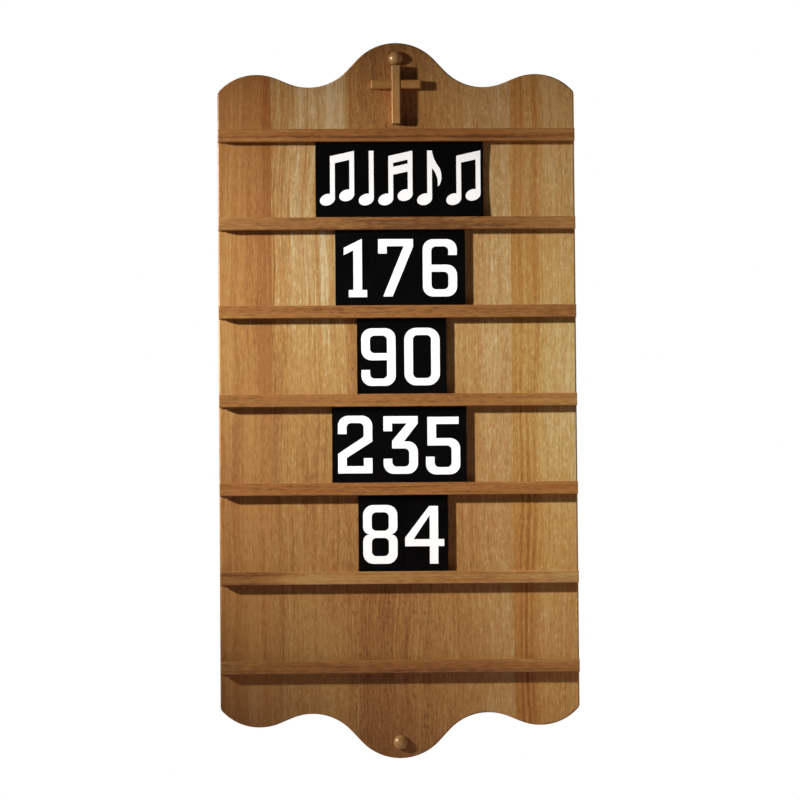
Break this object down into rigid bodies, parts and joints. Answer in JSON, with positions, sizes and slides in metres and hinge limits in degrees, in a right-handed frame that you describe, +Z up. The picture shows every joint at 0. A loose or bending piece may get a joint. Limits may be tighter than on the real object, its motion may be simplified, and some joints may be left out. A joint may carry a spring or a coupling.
{
  "type": "hymn board",
  "caption": "Wall-hung wooden board with scalloped ends, grooved rails that hold loose number cards, and a small cross above the rails.",
  "frame": {"origin": "centre of the flat back face, on the wall's plane", "axes": "+Z up, front faces -Y, +X to the right as seen from the front, +Y into the wall"},
  "size_m": [0.4064, 0.0318, 0.8128],
  "materials": {
    "panel_wood": "satin",
    "rail_wood": "satin",
    "cross_wood": "satin",
    "button_wood": "gloss",
    "card_plastic": "satin",
    "screw_steel": "zinc plated"
  },
  "bodies": {
    "board": {"panel_stave_1": "panel_wood", "panel_stave_2": "panel_wood", "panel_stave_3": "panel_wood", "panel_stave_4": "panel_wood", "panel_stave_5": "panel_wood", "rail_1_face": "rail_wood", "rail_1_spacer": "rail_wood", "rail_2_face": "rail_wood", "rail_2_spacer": "rail_wood", "rail_3_face": "rail_wood", "rail_3_spacer": "rail_wood", "rail_4_face": "rail_wood", "rail_4_spacer": "rail_wood", "rail_5_face": "rail_wood", "rail_5_spacer": "rail_wood", "rail_6_face": "rail_wood", "rail_6_spacer": "rail_wood", "rail_7_face": "rail_wood", "rail_7_spacer": "rail_wood", "cross_upright": "cross_wood", "cross_bar": "cross_wood", "button_plugs": "button_wood", "rail_screws": "screw_steel", "cross_screws": "screw_steel"},
    "heading": {"heading_card": "card_plastic"},
    "row_1_card_1": {"row_1_card_1": "card_plastic"},
    "row_1_card_7": {"row_1_card_7": "card_plastic"},
    "row_1_card_6": {"row_1_card_6": "card_plastic"},
    "row_2_card_9": {"row_2_card_9": "card_plastic"},
    "row_2_card_0": {"row_2_card_0": "card_plastic"},
    "row_3_card_2": {"row_3_card_2": "card_plastic"},
    "row_3_card_3": {"row_3_card_3": "card_plastic"},
    "row_3_card_5": {"row_3_card_5": "card_plastic"},
    "row_4_card_8": {"row_4_card_8": "card_plastic"},
    "row_4_card_4": {"row_4_card_4": "card_plastic"}
  },
  "joints": [
    {"name": "heading_slide", "type": "slide", "parent": "board", "child": "heading", "axis": [1, 0, 0], "range_m": [-0.3078, 0.3014]},
    {"name": "row_1_card_1_slide", "type": "slide", "parent": "board", "child": "row_1_card_1", "axis": [1, 0, 0], "range_m": [-0.1845, 0]},
    {"name": "row_1_card_7_lift", "type": "slide", "parent": "board", "child": "row_1_card_7", "axis": [0, 0, 1], "range_m": [0, 0.0033]},
    {"name": "row_1_card_6_slide", "type": "slide", "parent": "board", "child": "row_1_card_6", "axis": [1, 0, 0], "range_m": [0, 0.1827]},
    {"name": "row_2_card_9_slide", "type": "slide", "parent": "board", "child": "row_2_card_9", "axis": [1, 0, 0], "range_m": [-0.2134, 0]},
    {"name": "row_2_card_0_slide", "type": "slide", "parent": "board", "child": "row_2_card_0", "axis": [1, 0, 0], "range_m": [0, 0.2047]},
    {"name": "row_3_card_2_slide", "type": "slide", "parent": "board", "child": "row_3_card_2", "axis": [1, 0, 0], "range_m": [-0.1845, 0]},
    {"name": "row_3_card_3_lift", "type": "slide", "parent": "board", "child": "row_3_card_3", "axis": [0, 0, 1], "range_m": [0, 0.0033]},
    {"name": "row_3_card_5_slide", "type": "slide", "parent": "board", "child": "row_3_card_5", "axis": [1, 0, 0], "range_m": [0, 0.1827]},
    {"name": "row_4_card_8_slide", "type": "slide", "parent": "board", "child": "row_4_card_8", "axis": [1, 0, 0], "range_m": [-0.2137, 0]},
    {"name": "row_4_card_4_slide", "type": "slide", "parent": "board", "child": "row_4_card_4", "axis": [1, 0, 0], "range_m": [0, 0.2044]}
  ]
}
